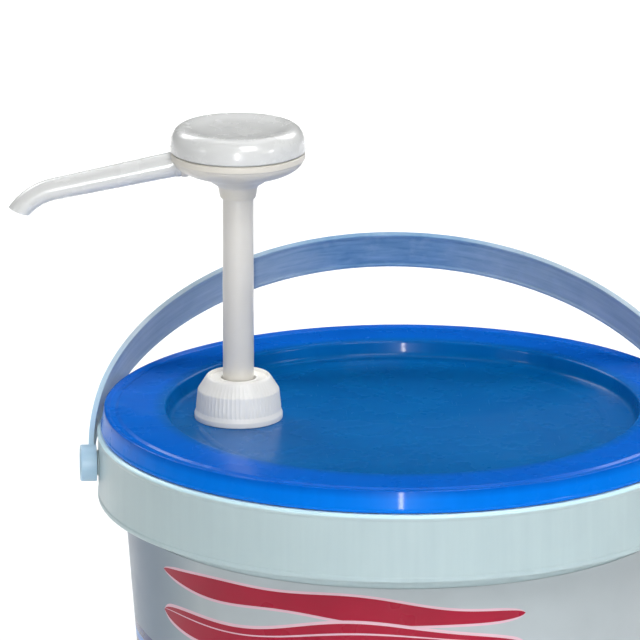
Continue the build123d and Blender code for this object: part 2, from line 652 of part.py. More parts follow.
with BuildPart() as head_body:
    # The dish: a thin-walled bowl that sweeps down into the neck.
    with BuildSketch(SEAM_SECTION):
        with BuildLine():
            underside_curve = Spline(
                (BODY_RIM_RADIUS - 0.5, BODY_RIM_BOTTOM),
                (29.2, -8.0),
                (22.5, -11.3),
                (15.0, -14.2),
                (11.2, -16.7),
                (STEM_RADIUS + 1.4, NECK_END + 1.2),
                tangents=((-0.35, -1), (-0.12, -1)),
            )
            Polyline(
                underside_curve @ 1,
                (STEM_RADIUS + 1.0, NECK_END),
                (STEM_RADIUS + 0.01, NECK_END),
                (STEM_RADIUS + 0.01, STEM_SOCKET_TOP),
                (STEM_BORE, STEM_SOCKET_TOP),
                (STEM_BORE, -1.6),
                (STEM_BORE + 1.6, -1.6),
                (STEM_BORE + 1.8, -11.0),
            )
            inner_curve = Spline(
                (STEM_BORE + 1.8, -11.0),
                (14.0, -12.2),
                (23.0, -9.0),
                (27.0, -6.2),
                (BODY_RIM_RADIUS - 1.7, -4.0),
            )
            Polyline(
                inner_curve @ 1,
                (BODY_RIM_RADIUS - 1.7, BODY_RIM_TOP),
                (BODY_RIM_RADIUS - 0.4, BODY_RIM_TOP),
                (BODY_RIM_RADIUS, BODY_RIM_TOP - 0.4),
                (BODY_RIM_RADIUS, BODY_RIM_BOTTOM + 0.5),
                (BODY_RIM_RADIUS - 0.5, BODY_RIM_BOTTOM),
            )
        make_face()
    revolve(axis=PUMP_AXIS)

    # The channel's roof, and the level socket that holds the spout.
    with BuildSketch(PUMP_PLANE.offset(SEAM - 1.6)):
        Circle(STEM_BORE + 1.6)
    extrude(amount=1.4)
    with BuildSketch(TOWARDS_TIP):
        Circle(SOCKET_RADIUS - 0.4)
    extrude(amount=SPOUT_START - 3.2)
    with BuildSketch(TOWARDS_TIP.offset(SPOUT_START - 3.2)):
        Circle(SOCKET_RADIUS)
    extrude(amount=3.0)
    with BuildSketch(TOWARDS_TIP.offset(SPOUT_START - 3.2)):
        Circle(SOCKET_RADIUS - 0.5)
    extrude(amount=3.2)

    with BuildSketch(TOWARDS_TIP):
        Circle(CHANNEL_RADIUS)
    extrude(amount=SPOUT_START, mode=Mode.SUBTRACT)
    with BuildSketch(TOWARDS_TIP.offset(SPOUT_START - SPIGOT_LENGTH - 0.3)):
        Circle(SPIGOT_RADIUS + 0.02)
    extrude(amount=SPIGOT_LENGTH + 0.4, mode=Mode.SUBTRACT)
    with BuildSketch(TOWARDS_TIP.offset(SPOUT_START)):
        Circle(SOCKET_RADIUS + 0.05)
    extrude(amount=SPOUT_START, mode=Mode.SUBTRACT)
    with BuildSketch(PUMP_PLANE.offset(SEAM + STEM_SOCKET_TOP)):
        Circle(STEM_BORE)
    extrude(amount=-1.6 - STEM_SOCKET_TOP, mode=Mode.SUBTRACT)
    with BuildSketch(PUMP_PLANE.offset(SEAM + NECK_END)):
        Circle(STEM_RADIUS + 0.01)
    extrude(amount=STEM_SOCKET_TOP - NECK_END, mode=Mode.SUBTRACT)
save(head_body, "head_body")

# ================================================================ head cap
CAP_WALL = 1.7
CREST_RADIUS = 26.2
CREST_HEIGHT = 11.6
DISH_CENTRE = 9.0
SKIRT_RADIUS = BODY_RIM_RADIUS - 1.8
with BuildPart() as head_cap:
    with BuildSketch(SEAM_SECTION):
        with BuildLine():
            dish = Spline(
                (0, DISH_CENTRE),
                (12.0, DISH_CENTRE + 0.15),
                (18.0, DISH_CENTRE + 0.6),
                (22.3, DISH_CENTRE + 1.8),
                (CREST_RADIUS, CREST_HEIGHT),
                tangents=((1, 0), (1, 0)),
            )
            shoulder = Spline(
                (CREST_RADIUS, CREST_HEIGHT),
                (29.6, 10.35),
                (31.9, 7.0),
                (HEAD_RADIUS, 0.6),
                tangents=((1, 0), (0.02, -1)),
            )
            Polyline(
                shoulder @ 1,
                (HEAD_RADIUS - 0.4, 0),
                (SKIRT_RADIUS, 0),
                (SKIRT_RADIUS, -3.4),
                (SKIRT_RADIUS - 1.5, -3.4),
                (SKIRT_RADIUS - 1.5, 3.0),
            )
            inner_shoulder = Spline(
                (SKIRT_RADIUS - 1.5, 3.0),
                (28.6, 7.0),
                (26.2, 9.4),
                (22.6, 9.0),
                (18.0, DISH_CENTRE + 0.5 - CAP_WALL),
                (12.0, DISH_CENTRE + 0.1 - CAP_WALL),
                (0, DISH_CENTRE - CAP_WALL),
                tangents=((0, 1), (-1, 0)),
            )
            Line((0, DISH_CENTRE - CAP_WALL), (0, DISH_CENTRE))
        make_face()
    revolve(axis=PUMP_AXIS)
    # A notch in the cap's inner skirt clears the spout's collar.
    with BuildSketch(TOWARDS_TIP.offset(SPOUT_START - 1)):
        Circle(SOCKET_RADIUS + 0.2)
    extrude(amount=SPOUT_START, mode=Mode.SUBTRACT)
save(head_cap, "head_cap")

# ================================================================ spout
SPOUT_DIRECTION = Vector(-cos(radians(SPOUT_DROOP)), 0, -sin(radians(SPOUT_DROOP)))
TUBE_START = SPOUT_ORIGIN + Vector(-SPOUT_START - SPOUT_COLLAR, 0, 0)
BEND_START = TUBE_START + SPOUT_DIRECTION * SPOUT_STRAIGHT
TUBE_PLANE = Plane(TUBE_START, x_dir=(0, 1, 0), z_dir=SPOUT_DIRECTION)
TUBE_TAPER = (SPOUT_RADIUS_ROOT - SPOUT_RADIUS_BEND) / SPOUT_STRAIGHT


def bend_section(position, radius):
    """A circle across the bend, 0 at its start and 1 at its end."""
    with BuildSketch(Plane(BEND_ARC @ position, x_dir=(0, 1, 0), z_dir=BEND_ARC % position)) as circle:
        Circle(radius)
    return circle.sketch


with BuildLine(Plane(BEND_START, x_dir=(-1, 0, 0), z_dir=(0, 1, 0))) as bend_line:
    JernArc(
        start=(0, 0),
        tangent=(cos(radians(SPOUT_DROOP)), -sin(radians(SPOUT_DROOP))),
        radius=SPOUT_BEND_RADIUS,
        arc_size=-SPOUT_BEND,
    )
BEND_ARC = bend_line.line

with BuildPart() as spout:
    with BuildSketch(TUBE_PLANE):
        Circle(SPOUT_RADIUS_ROOT)
    with BuildSketch(TUBE_PLANE.offset(SPOUT_STRAIGHT)):
        Circle(SPOUT_RADIUS_BEND)
    loft()
    sweep(
        sections=[bend_section(0, SPOUT_RADIUS_BEND), bend_section(1, SPOUT_RADIUS_TIP)],
        path=BEND_ARC,
        multisection=True,
    )
    # The collar butts against the socket, and the spigot goes inside it.
    with BuildSketch(TOWARDS_TIP.offset(SPOUT_START)):
        Circle(SOCKET_RADIUS - 0.1)
    extrude(amount=SPOUT_COLLAR - 0.2)
    with BuildSketch(TOWARDS_TIP.offset(SPOUT_START + SPOUT_COLLAR - 1.4)):
        Circle(SPOUT_RADIUS_ROOT)
    extrude(amount=2.2)
    with BuildSketch(TOWARDS_TIP.offset(SPOUT_START - SPIGOT_LENGTH)):
        Circle(SPIGOT_RADIUS)
    extrude(amount=SPIGOT_LENGTH + 0.5)
    with BuildSketch(TOWARDS_TIP.offset(SPOUT_START - SPIGOT_LENGTH / 2 - 0.9)):
        Circle(SPIGOT_RADIUS + 1)
        Circle(SPIGOT_RADIUS - 0.7, mode=Mode.SUBTRACT)
    extrude(amount=1.8, mode=Mode.SUBTRACT)
    # The bore.
    with BuildSketch(TOWARDS_TIP.offset(SPOUT_START - SPIGOT_LENGTH - 1)):
        Circle(CHANNEL_RADIUS - 0.2)
    extrude(amount=SPIGOT_LENGTH + SPOUT_COLLAR + 1.4, mode=Mode.SUBTRACT)
    with BuildSketch(TUBE_PLANE):
        Circle(SPOUT_RADIUS_ROOT - SPOUT_WALL - 0.4)
    with BuildSketch(TUBE_PLANE.offset(SPOUT_STRAIGHT)):
        Circle(SPOUT_RADIUS_BEND - SPOUT_WALL)
    loft(mode=Mode.SUBTRACT)
    sweep(
        sections=[
            bend_section(0, SPOUT_RADIUS_BEND - SPOUT_WALL),
            bend_section(1, SPOUT_RADIUS_TIP - SPOUT_WALL * 0.8),
        ],
        path=BEND_ARC,
        multisection=True,
        mode=Mode.SUBTRACT,
    )
    # The tip is cut on the slant, so that it is longer on its outer side.
    tip_ahead = BEND_ARC % SPOUT_CUT_AT
    tip_outward = Vector(tip_ahead.Z, 0, -tip_ahead.X)
    tip_normal = tip_ahead - tip_outward * tan(radians(SPOUT_CUT_SKEW))
    split(bisect_by=Plane(BEND_ARC @ SPOUT_CUT_AT, z_dir=tip_normal), keep=Keep.BOTTOM)
save(spout, "spout")

with BuildPart() as spout_o_ring:
    with BuildSketch(TOWARDS_TIP.offset(SPOUT_START - SPIGOT_LENGTH / 2 - 0.8)):
        Circle(SPIGOT_RADIUS)
        Circle(SPIGOT_RADIUS - 0.65, mode=Mode.SUBTRACT)
    extrude(amount=1.6)
save(spout_o_ring, "spout_o_ring")
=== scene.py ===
import json
import math

import bmesh
import bpy
from mathutils import Matrix, Vector


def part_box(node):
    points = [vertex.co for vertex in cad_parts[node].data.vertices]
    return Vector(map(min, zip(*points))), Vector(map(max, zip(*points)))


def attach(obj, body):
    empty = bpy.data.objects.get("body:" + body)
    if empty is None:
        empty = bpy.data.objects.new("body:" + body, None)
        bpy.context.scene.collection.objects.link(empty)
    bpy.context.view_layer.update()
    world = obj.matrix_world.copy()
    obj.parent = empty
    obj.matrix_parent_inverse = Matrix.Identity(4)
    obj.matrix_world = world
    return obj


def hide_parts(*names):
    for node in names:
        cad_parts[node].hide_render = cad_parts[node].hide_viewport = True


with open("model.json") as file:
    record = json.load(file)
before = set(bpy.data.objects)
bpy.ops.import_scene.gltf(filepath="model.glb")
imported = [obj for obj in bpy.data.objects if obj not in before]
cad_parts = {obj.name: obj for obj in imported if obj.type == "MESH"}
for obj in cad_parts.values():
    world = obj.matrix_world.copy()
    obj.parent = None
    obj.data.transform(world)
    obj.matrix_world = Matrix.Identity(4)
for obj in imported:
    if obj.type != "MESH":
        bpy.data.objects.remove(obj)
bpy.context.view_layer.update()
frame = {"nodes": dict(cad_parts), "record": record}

# The condiment pump dispenser's finished surfaces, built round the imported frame. Profiles are in
# millimetres, and every piece is placed from the boxes of the CAD nodes.
MM = 0.001
JOINTS = {joint["name"]: joint for joint in frame["record"]["behaviour"]["joints"]}


def box_mm(node):
    low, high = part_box(node)
    return low / MM, high / MM


PAIL_HIGH = box_mm("pail")[1]
LID_LOW, LID_HIGH = box_mm("lid")
STEM_LOW, STEM_HIGH = box_mm("piston_stem")
NUT_LOW, NUT_HIGH = box_mm("collar_nut")
CAP_HIGH = box_mm("head_cap")[1]
BAIL_HIGH = box_mm("bail_handle")[1]
LABEL_LOW, LABEL_HIGH = box_mm("pail_label")

# The pump's axis, and the heights that several pieces share.
PUMP_X = (STEM_LOW.x + STEM_HIGH.x) / 2
PUMP_Y = (STEM_LOW.y + STEM_HIGH.y) / 2
PANEL = NUT_LOW.z
LID_TOP = LID_HIGH.z
CREST_HEIGHT = 11.6
SEAM = CAP_HIGH.z - CREST_HEIGHT
COLLAR_Z = LID_LOW.z + 3.0
PIVOT_Z = JOINTS["bail_hinge"]["pos_m"][2] / MM

# The strap's highest point is this reach from the pivot's line, which gives the bail's lean.
BAIL_OUTER = 152.1
BAIL_HALF = 10.5
BAIL_REACH = math.hypot(BAIL_OUTER, BAIL_HALF)
BAIL_ANGLE = math.asin((BAIL_HIGH.z - PIVOT_Z) / BAIL_REACH) - math.atan2(BAIL_HALF, BAIL_OUTER)


# ================================================================ mesh helpers
# Edges sharper than this many degrees stay sharp, and points closer than this many metres are one.
SHARP = 32.0
SAME_PLACE = 1e-7


def arc_corners(corners, steps=5):
    """A closed outline from corners (x, y, radius), each rounded to its own radius."""
    outline = []
    count = len(corners)
    for index, (x, y, radius) in enumerate(corners):
        here = Vector((x, y))
        before = Vector(corners[index - 1][:2]) - here
        after = Vector(corners[(index + 1) % count][:2]) - here
        if radius <= 0 or before.length < 1e-9 or after.length < 1e-9:
            outline.append((x, y))
            continue
        half = before.angle(after) / 2
        reach = min(radius / max(math.tan(half), 1e-3), before.length * 0.47, after.length * 0.47)
        start = here + before.normalized() * reach
        end = here + after.normalized() * reach
        for step in range(steps + 1):
            t = step / steps
            point = start * (1 - t) ** 2 + here * 2 * t * (1 - t) + end * t**2
            outline.append((point.x, point.y))
    return outline


def curve_through(points, steps=8):
    """A smooth open line through points, by Catmull-Rom."""
    line = []
    padded = [points[0], *points, points[-1]]
    for index in range(1, len(padded) - 2):
        a, b, c, d = (Vector(padded[index + k]) for k in (-1, 0, 1, 2))
        for step in range(steps):
            t = step / steps
            p = b * 2 + (c - a) * t + (a * 2 - b * 5 + c * 4 - d) * t**2 + (b * 3 - a - c * 3 + d) * t**3
            line.append((p.x / 2, p.y / 2))
    line.append(tuple(points[-1]))
    return line


def shade_smooth(work, sharp):
    """Smooths every face, and leaves the edges that are sharper than an angle in degrees."""
    for edge in work.edges:
        edge.smooth = edge.is_manifold and edge.calc_face_angle(0) < math.radians(sharp)
    for face in work.faces:
        face.smooth = True


def build(name, verts, faces, body, slot, paint, sharp=SHARP, face_paint=None):
    """A closed mesh piece in millimetres that rides on a CAD body."""
    mesh = bpy.data.meshes.new(name)
    mesh.from_pydata([Vector(v) * MM for v in verts], [], faces)
    for material in paint if isinstance(paint, list) else [paint]:
        mesh.materials.append(material)
    if face_paint:
        mesh.polygons.foreach_set("material_index", face_paint)
    work = bmesh.new()
    work.from_mesh(mesh)
    bmesh.ops.remove_doubles(work, verts=work.verts, dist=SAME_PLACE)
    bmesh.ops.dissolve_degenerate(work, edges=work.edges, dist=SAME_PLACE)
    bmesh.ops.recalc_face_normals(work, faces=work.faces)
    shade_smooth(work, sharp)
    work.to_mesh(mesh)
    work.free()
    piece = bpy.data.objects.new(name, mesh)
    bpy.context.scene.collection.objects.link(piece)
    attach(piece, body)
    return piece


def lathe(outline, steps=192, centre=(0, 0), ripple=None):
    """Revolves a closed (radius, height) outline about a vertical axis.

    ripple(angle, index) adds to the radius.
    """
    verts, faces, rings = [], [], []
    for index, (radius, height) in enumerate(outline):
        if radius < 1e-6:
            rings.append([len(verts)] * steps)
            verts.append((centre[0], centre[1], height))
            continue
        ring = []
        for step in range(steps):
            angle = math.tau * step / steps
            r = radius + (ripple(angle, index) if ripple else 0)
            ring.append(len(verts))
            verts.append((centre[0] + r * math.cos(angle), centre[1] + r * math.sin(angle), height))
        rings.append(ring)
    for index, ring in enumerate(rings):
        following = rings[(index + 1) % len(rings)]
        if ring[0] == ring[-1] and following[0] == following[-1]:
            continue
        for step in range(steps):
            turn = (step + 1) % steps
            loop = [ring[step], ring[turn], following[turn], following[step]]
            faces.append([v for k, v in enumerate(loop) if v != loop[k - 1]])
    return verts, faces


def turned_to_x(shape, sign, height):
    """Lays a lathed shape along X, its axis at the bail pivot's height, its top facing outwards."""
    verts, faces = shape
    return [(sign * z, x, height + y) for x, y, z in verts], faces


def joined(*shapes):
    verts, faces = [], []
    for more_verts, more_faces in shapes:
        start = len(verts)
        verts += more_verts
        faces += [[start + v for v in face] for face in more_faces]
    return verts, faces


def loop_sweep(sections):
    """Skins a list of equal rings of points, and caps the two ends."""
    verts, faces = [], []
    size = len(sections[0])
    for section in sections:
        verts += [tuple(point) for point in section]
    last = (len(sections) - 1) * size
    for a in range(0, last, size):
        b = a + size
        for k in range(size):
            following = (k + 1) % size
            faces.append([a + k, a + following, b + following, b + k])
    faces.append(list(range(size))[::-1])
    faces.append([last + k for k in range(size)])
    return verts, faces


# ================================================================ materials
# Angles round from the front, in degrees: the middles of the label's two prints, the half width of
# each, and the side where painted shade darkens the label's white most.
PRINT_CENTRE = -20.0
SECOND_CENTRE = 130.0
PRINT_HALF = 43.0
SHADED_SIDE = -80.0


class Painter:
    """Builds one node material with short calls."""

    def __init__(self, name):
        self.material = bpy.data.materials.new(name)
        self.material.use_nodes = True
        self.tree = self.material.node_tree
        self.shader = self.tree.nodes["Principled BSDF"]
        self.coords = self.tree.nodes.new("ShaderNodeTexCoord").outputs["Object"]

    def plug(self, socket, value):
        if isinstance(value, bpy.types.NodeSocket):
            self.tree.links.new(value, socket)
        else:
            socket.default_value = value

    def node(self, kind, inputs=None, **settings):
        made = self.tree.nodes.new("ShaderNode" + kind)
        for key, value in settings.items():
            setattr(made, key, value)
        for key, value in (inputs or {}).items():
            self.plug(made.inputs[key], value)
        return made

    def noise(self, scale, detail=3.0, rough=0.55, vector=None, warp=0.0):
        inputs = {
            "Vector": vector or self.coords,
            "Scale": scale,
            "Detail": detail,
            "Roughness": rough,
            "Distortion": warp,
        }
        return self.node("TexNoise", inputs).outputs["Fac"]

    def spread(self, value, low, high, to_low, to_high):
        inputs = {"Value": value, "From Min": low, "From Max": high, "To Min": to_low, "To Max": to_high}
        return self.node("MapRange", inputs).outputs["Result"]

    def blend(self, factor, a, b):
        """Mixes two colours. A mix node's colour sockets share their names with others, so go by number."""
        return self.node("Mix", {0: factor, 6: a, 7: b}, data_type="RGBA").outputs[2]

    def mottled(self, tone, colour, mottle):
        """A colour made darker and lighter by a share of itself, following tone."""
        full = self.spread(tone, 0.3, 0.7, 0.0, 1.0)
        return self.blend(full, shade(colour, 1 - mottle), shade(colour, 1 + mottle))

    def sums(self, operation, a, b=0.0):
        return self.node("Math", {0: a, 1: b}, operation=operation).outputs[0]

    def product(self, a, b):
        return self.sums("MULTIPLY", a, b)

    def stretched(self, scale, turn=(0.0, 0.0, 0.0)):
        return self.node("Mapping", {"Vector": self.coords, "Scale": scale, "Rotation": turn}).outputs[0]

    def around_axis(self):
        """(distance from the pail's axis, angle round it, height) of a shading point."""
        x, y, height = self.node("SeparateXYZ", {"Vector": self.coords}).outputs
        squares = self.sums("ADD", self.product(x, x), self.product(y, y))
        return self.sums("SQRT", squares), self.sums("ARCTAN2", y, x), height

    def plane(self, x, y):
        """A place to look up noise in, from two values."""
        return self.node("CombineXYZ", {"X": x, "Y": y}).outputs[0]

    def bump(self, height, strength, distance, under=None):
        inputs = {"Height": height, "Strength": strength, "Distance": distance}
        if under:
            inputs["Normal"] = under
        return self.node("Bump", inputs).outputs["Normal"]

    def finish(self, **sockets):
        """Sets the shader's sockets, named with underscores for spaces, and gives the material."""
        for key, value in sockets.items():
            self.plug(self.shader.inputs[key.replace("_", " ")], value)
        return self.material


def shade(colour, factor):
    """A colour times a factor, with an alpha of one."""
    return (*(min(1.0, c * factor) for c in colour), 1.0)


def moulded(name, colour, rough, mottle, grain, scatter, coat=0.0):
    """Injection-moulded plastic: faint flow marks, fine skin grain, hairline scuffs, a little scatter."""
    p = Painter(name)
    cloud = p.noise(26.0, 4.0, 0.6, warp=0.6)
    flow = p.noise(9.0, 2.0, 0.5, p.stretched((1.0, 1.0, 5.0)))
    tone = p.sums("ADD", p.product(cloud, 0.6), p.product(flow, 0.4))
    base = p.mottled(tone, colour, mottle)
    scratch_a = p.noise(60.0, 2.0, 0.5, p.stretched((1.0, 34.0, 22.0), (0.4, 0.2, 0.5)))
    scratch_b = p.noise(55.0, 2.0, 0.5, p.stretched((30.0, 1.0, 26.0), (0.1, 0.7, -0.6)))
    hair = p.spread(p.sums("MAXIMUM", scratch_a, scratch_b), 0.66, 0.78, 0.0, 1.0)
    patch = p.spread(p.noise(70.0, 4.0), 0.35, 0.7, -0.045, 0.055)
    gloss = p.sums("ADD", p.sums("ADD", patch, rough), p.product(hair, 0.056))
    skin = p.bump(p.noise(2600.0, 2.0), grain, 0.00001)
    waves = p.bump(p.noise(42.0, 2.0), 0.10, 0.0012, skin)
    marks = p.bump(hair, -0.0875, 0.00003, waves)
    return p.finish(
        Base_Color=base,
        Roughness=gloss,
        Normal=marks,
        Subsurface_Weight=scatter,
        Subsurface_Radius=(0.006, 0.006, 0.007),
        Subsurface_Scale=0.4,
        Coat_Weight=coat,
        Coat_Roughness=0.08,
        IOR=1.49,
    )


def lid_plastic():
    """Glossy blue plastic with turning marks and flow lines; painted shade darkens the panel over the
    pail's dark inside, and painted light brightens the shelf over the white rim and the skirt most.
    """
    p = Painter("lid blue plastic")
    far, angle, height = p.around_axis()
    # Painted light and shade: the panel is painted darker, the shelf over the pail's rim lighter, and the
    # skirt lighter still.
    shelf_light_mask = p.spread(far, 0.1135, 0.1215, 0.0, 1.0)
    skirt_light_mask = p.spread(height, (LID_TOP - 4) * MM, (LID_TOP - 0.5) * MM, 1.0, 0.0)
    cloud = p.noise(14.0, 4.0, 0.55, warp=0.8)
    flow = p.noise(2.4, 3.0, 0.55, p.plane(p.product(angle, 9.0), p.product(far, 14.0)))
    tone = p.sums("ADD", p.product(cloud, 0.65), p.product(flow, 0.35))
    spread = p.spread(tone, 0.34, 0.68, 0.0, 1.0)
    # The panel's painted shade, the shelf's painted light and the skirt's brighter painted light, each
    # mottled.
    shaded_panel = p.blend(spread, (0.000, 0.088, 0.310, 1), (0.000, 0.116, 0.365, 1))
    lit_shelf = p.blend(spread, (0.000, 0.100, 0.505, 1), (0.000, 0.124, 0.580, 1))
    edge = p.blend(spread, (0.000, 0.160, 0.700, 1), (0.001, 0.190, 0.790, 1))
    top = p.blend(shelf_light_mask, shaded_panel, lit_shelf)
    base = p.blend(p.product(shelf_light_mask, skirt_light_mask), top, edge)
    turning = p.noise(1.0, 2.0, 0.5, p.plane(p.product(far, 900.0), p.product(angle, 1.2)))
    scratch = p.noise(48.0, 2.0, 0.5, p.stretched((1.0, 30.0, 1.0), (0.0, 0.0, 0.7)))
    cross = p.noise(52.0, 2.0, 0.5, p.stretched((26.0, 1.0, 1.0), (0.0, 0.0, 0.35)))
    hair = p.spread(p.sums("MAXIMUM", scratch, cross), 0.69, 0.80, 0.0, 1.0)
    patch = p.spread(p.noise(38.0, 4.0), 0.35, 0.68, -0.03, 0.04)
    gloss = p.sums("ADD", p.sums("ADD", patch, 0.27), p.product(hair, 0.05))
    turned = p.bump(turning, 0.10, 0.00005)
    sag = p.bump(p.noise(17.0, 1.0), 0.20, 0.0022, turned)
    return p.finish(
        Base_Color=base,
        Roughness=gloss,
        Normal=p.bump(hair, -0.15, 0.00003, sag),
        Subsurface_Weight=0.05,
        Subsurface_Radius=(0.001, 0.003, 0.006),
        Subsurface_Scale=0.5,
        Specular_IOR_Level=0.07,
        Coat_Weight=0.11,
        Coat_Roughness=0.06,
        IOR=1.45,
    )


def pail_plastic():
    """Bluish white, slightly see-through plastic with vertical marks, and a painted highlight along the
    collar's top edge.
    """
    p = Painter("pail white plastic")
    _, angle, height = p.around_axis()
    flow = p.noise(1.6, 3.0, 0.6, p.plane(p.product(angle, 16.0), p.product(height, 6.0)))
    cloud = p.noise(12.0, 4.0, 0.6, warp=0.7)
    tone = p.sums("ADD", p.product(flow, 0.4), p.product(cloud, 0.6))
    tone = p.spread(tone, 0.32, 0.7, 0.0, 1.0)
    base = p.blend(tone, (0.415, 0.530, 0.560, 1), (0.475, 0.595, 0.615, 1))
    # Painted highlight: a pale cyan band along the collar's top edge, just under the lid's skirt.
    rim = p.spread(height, (COLLAR_Z - 1.9) * MM, (COLLAR_Z - 1.0) * MM, 0.0, 1.0)
    base = p.blend(rim, base, (0.620, 0.870, 0.950, 1))
    scratch = p.noise(60.0, 2.0, 0.5, p.stretched((1.0, 1.0, 30.0), (0.3, 0.5, 0.0)))
    hair = p.spread(scratch, 0.66, 0.78, 0.0, 1.0)
    patch = p.spread(p.noise(46.0, 4.0), 0.35, 0.68, -0.05, 0.06)
    gloss = p.sums("ADD", p.sums("ADD", patch, 0.36), p.product(hair, 0.10))
    skin = p.bump(p.noise(2400.0, 2.0), 0.12, 0.00001)
    waves = p.bump(p.noise(22.0, 2.0), 0.14, 0.0016, skin)
    return p.finish(
        Base_Color=base,
        Roughness=gloss,
        Normal=p.bump(hair, -0.15, 0.00003, waves),
        Subsurface_Weight=0.18,
        Subsurface_Radius=(0.006, 0.007, 0.008),
        Subsurface_Scale=0.5,
        IOR=1.49,
    )


def bail_plastic():
    """Pale blue strap plastic with flow streaks along the strap; painted shade darkens its middle, and
    painted light pales its sides and hubs.
    """
    p = Painter("bail blue plastic")
    sideways, _, upwards = p.node("SeparateXYZ", {"Vector": p.coords}).outputs
    along = p.sums("ARCTAN2", p.sums("SUBTRACT", upwards, PIVOT_Z * MM), sideways)
    upright = p.node("VectorRotate", {"Vector": p.coords, "Angle": -BAIL_ANGLE}, rotation_type="X_AXIS")
    across = p.node("SeparateXYZ", {"Vector": upright.outputs[0]}).outputs[2]
    streak = p.noise(1.6, 4.0, 0.6, p.plane(p.product(along, 2.6), p.product(across, 210.0)), 0.4)
    cloud = p.noise(34.0, 4.0, 0.6, warp=1.0)
    tone = p.sums("ADD", p.product(streak, 0.65), p.product(cloud, 0.35))
    tone = p.spread(tone, 0.36, 0.64, 0.0, 1.0)
    # Painted shade on the strap's middle, fading to painted light towards its sides.
    shaded_middle = p.blend(tone, (0.120, 0.270, 0.460, 1), (0.250, 0.410, 0.610, 1))
    sides = p.blend(tone, (0.290, 0.400, 0.500, 1), (0.430, 0.530, 0.620, 1))
    lit_side_share = p.sums("ABSOLUTE", p.sums("COSINE", along))
    base = p.blend(p.spread(lit_side_share, 0.35, 0.80, 0.0, 1.0), shaded_middle, sides)
    worn = p.spread(p.noise(85.0, 5.0, 0.65), 0.54, 0.72, 0.0, 0.3)
    base = p.blend(worn, base, (0.450, 0.570, 0.700, 1))
    # Painted light: the hubs are painted paler than the strap.
    hub_light_mask = p.spread(p.sums("ABSOLUTE", sideways), 0.1300, 0.1490, 0.0, 0.8)
    base = p.blend(hub_light_mask, base, (0.400, 0.600, 0.760, 1))
    hair = p.spread(p.noise(60.0, 2.0, 0.5, p.stretched((1.0, 28.0, 28.0))), 0.65, 0.78, 0.0, 1.0)
    patch = p.spread(p.noise(60.0, 4.0), 0.35, 0.68, 0.36, 0.48)
    gloss = p.sums("ADD", patch, p.product(hair, 0.12))
    skin = p.bump(p.noise(2400.0, 2.0), 0.14, 0.00001)
    return p.finish(
        Base_Color=base,
        Roughness=gloss,
        Normal=p.bump(streak, 0.10, 0.0004, skin),
        Subsurface_Weight=0.12,
        Subsurface_Radius=(0.003, 0.005, 0.007),
        Subsurface_Scale=0.4,
        IOR=1.49,
    )


def printed(name, colour, rough=0.3, mottle=0.03, edge=None):
    """Printed film: faint ink density changes and small wrinkles under a gloss.

    edge is a painted shade colour that the film fades into on its shaded side, and again opposite.
    """
    p = Painter(name)
    base = p.mottled(p.noise(34.0, 3.0, 0.5), colour, mottle)
    if edge:
        # Painted shade: the label's white darkens into edge on its shaded side, and again opposite.
        turn = p.sums("ADD", p.around_axis()[1], math.radians(45 - SHADED_SIDE))
        fade = p.product(p.sums("SINE", turn), p.sums("COSINE", turn))
        base = p.blend(p.spread(fade, -0.5, -0.25, 0.9, 0.0), base, edge)
    gloss = p.spread(p.noise(60.0, 2.0), 0.3, 0.7, rough - 0.02, rough + 0.04)
    return p.finish(
        Base_Color=base,
        Roughness=gloss,
        Normal=p.bump(p.noise(20.0, 1.0), 0.10, 0.0007),
        Specular_IOR_Level=0.25,
        Coat_Weight=0.15,
        Coat_Roughness=0.12,
    )


def rubber(name, colour):
    """Black rubber with a dull, finely pitted skin."""
    p = Painter(name)
    tone = p.spread(p.noise(120.0, 5.0), 0.35, 0.7, 0.0, 1.0)
    base = p.blend(tone, shade(colour, 0.75), shade(colour, 1.4))
    gloss = p.spread(p.noise(260.0, 4.0), 0.35, 0.68, 0.55, 0.78)
    return p.finish(Base_Color=base, Roughness=gloss, Normal=p.bump(p.noise(1400.0, 4.0), 0.35, 0.00012))


def foam(name, colour):
    """White closed cell foam."""
    p = Painter(name)
    cells = p.node("TexVoronoi", {"Vector": p.coords, "Scale": 1100.0}).outputs["Distance"]
    base = p.blend(p.spread(cells, 0.0, 0.6, 0.0, 1.0), shade(colour, 0.72), shade(colour, 1.05))
    return p.finish(
        Base_Color=base,
        Roughness=p.spread(cells, 0.0, 0.6, 0.95, 0.8),
        Normal=p.bump(cells, 0.6, 0.0003),
        Subsurface_Weight=0.2,
        Subsurface_Radius=(0.002, 0.002, 0.002),
        Subsurface_Scale=0.5,
    )


def steel(name, colour, rough, drawn):
    """Polished or drawn stainless steel, with draw lines along the wire and a faint heat tint."""
    p = Painter(name)
    lines = p.noise(90.0, 3.0, 0.6, p.stretched((6.0, 6.0, 90.0)))
    tint = p.noise(55.0, 3.0)
    base = p.blend(p.spread(tint, 0.35, 0.7, 0.0, 1.0), shade(colour, 0.88), shade(colour, 1.08))
    return p.finish(
        Base_Color=base,
        Metallic=1.0,
        Roughness=p.spread(lines, 0.3, 0.7, rough * 0.75, rough * 1.4),
        Normal=p.bump(lines, drawn, 0.00005),
    )


PAIL_WHITE = pail_plastic()
LID_BLUE = lid_plastic()
BAIL_BLUE = bail_plastic()
CAP_WHITE = moulded("pump white gloss", (0.640, 0.650, 0.645), 0.26, 0.03, 0.10, 0.15, 0.3)
